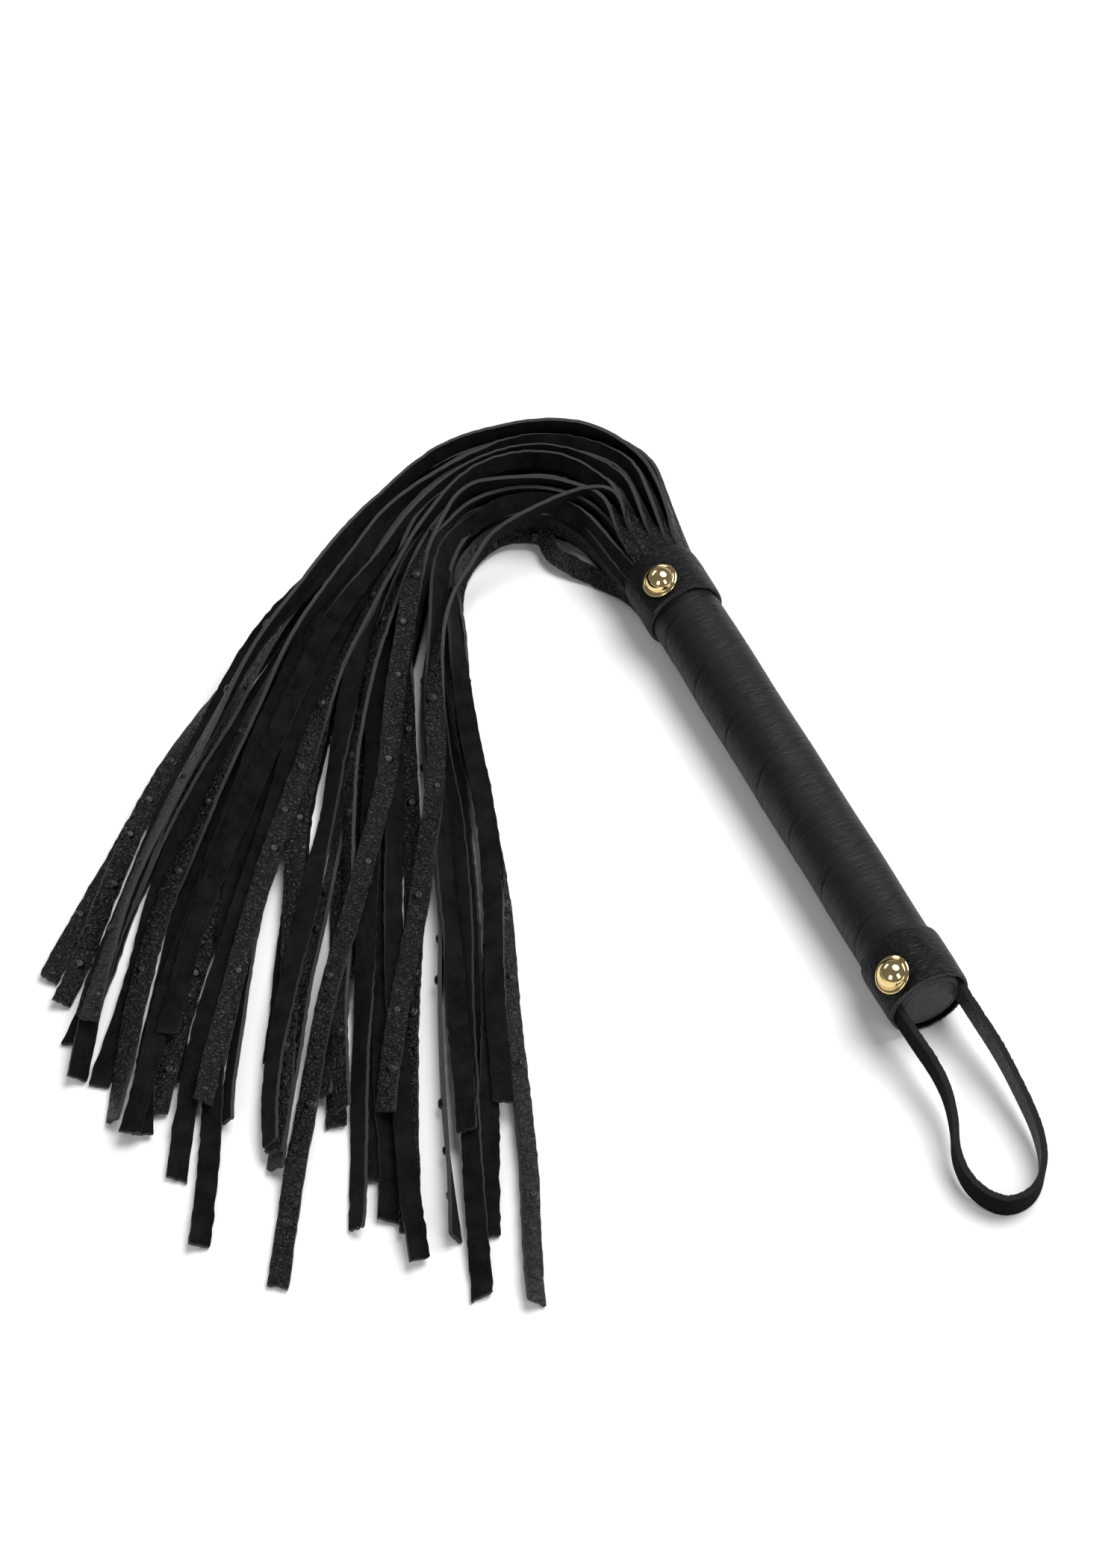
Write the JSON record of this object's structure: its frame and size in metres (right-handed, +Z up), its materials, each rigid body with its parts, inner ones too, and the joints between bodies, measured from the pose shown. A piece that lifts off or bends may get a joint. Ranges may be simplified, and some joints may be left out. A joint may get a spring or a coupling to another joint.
{
  "type": "short leather whip with many thongs",
  "caption": "Short leather whip: a wrapped round grip with riveted collars and a wrist strap, and a bunch of flat cut thongs that curve round and fan out.",
  "frame": {"origin": "on the table, at the middle of the box round the grip, wrist loop and fall root", "axes": "+Z up from the table, +Y along the grip from butt to mouth, the fall lies towards -X"},
  "size_m": [0.2723, 0.3517, 0.0325],
  "materials": {
    "core_wood": "plain turned dowel",
    "grip_leather": "black leather, fine wrinkled grain with scattered quill marks",
    "header_leather": "black leather, flesh side",
    "butt_leather": "dark grey fine grained leather",
    "collar_leather": "black smooth leather with cut edges",
    "strap_leather": "black leather, grain outside and suede inside",
    "thong_leather": "black leather, wrinkled grain on one side and suede on the other",
    "rivet_gold": "polished pale gold"
  },
  "bodies": {
    "handle": {"handle_core": "core_wood", "handle_wrap": "grip_leather", "falls_header": "header_leather", "butt_disc": "butt_leather", "upper_collar": "collar_leather", "lower_collar": "collar_leather", "upper_rivet_cap": "rivet_gold", "upper_rivet_post": "rivet_gold", "lower_rivet_cap": "rivet_gold", "lower_rivet_post": "rivet_gold", "loop_anchor_left": "strap_leather", "loop_anchor_right": "strap_leather"},
    "wrist_strap": {"wrist_loop": "strap_leather"},
    "falls": {"falls_root": "thong_leather", "thong_01": "thong_leather", "thong_02": "thong_leather", "thong_03": "thong_leather", "thong_04": "thong_leather", "thong_05": "thong_leather", "thong_06": "thong_leather", "thong_07": "thong_leather", "thong_08": "thong_leather", "thong_09": "thong_leather", "thong_10": "thong_leather", "thong_11": "thong_leather", "thong_12": "thong_leather", "thong_13": "thong_leather", "thong_14": "thong_leather", "thong_15": "thong_leather", "thong_16": "thong_leather", "thong_17": "thong_leather", "thong_18": "thong_leather", "thong_19": "thong_leather", "thong_20": "thong_leather", "thong_21": "thong_leather", "thong_22": "thong_leather", "thong_23": "thong_leather", "thong_24": "thong_leather", "thong_25": "thong_leather", "thong_26": "thong_leather", "thong_27": "thong_leather", "thong_28": "thong_leather", "thong_29": "thong_leather", "thong_30": "thong_leather", "thong_31": "thong_leather", "thong_32": "thong_leather", "thong_33": "thong_leather", "thong_34": "thong_leather", "thong_35": "thong_leather", "thong_36": "thong_leather", "thong_37": "thong_leather", "thong_38": "thong_leather", "thong_39": "thong_leather"}
  },
  "joints": [
    {"name": "falls_swing", "type": "hinge", "parent": "handle", "child": "falls", "pos_m": [0, 0.13975, 0.0143], "axis": [0, 0, 1], "range_deg": [-75, 22]},
    {"name": "wrist_loop_fold", "type": "hinge", "parent": "handle", "child": "wrist_strap", "pos_m": [0, -0.0824, 0.0143], "axis": [-1, 0, 0], "range_deg": [0, 100]}
  ]
}
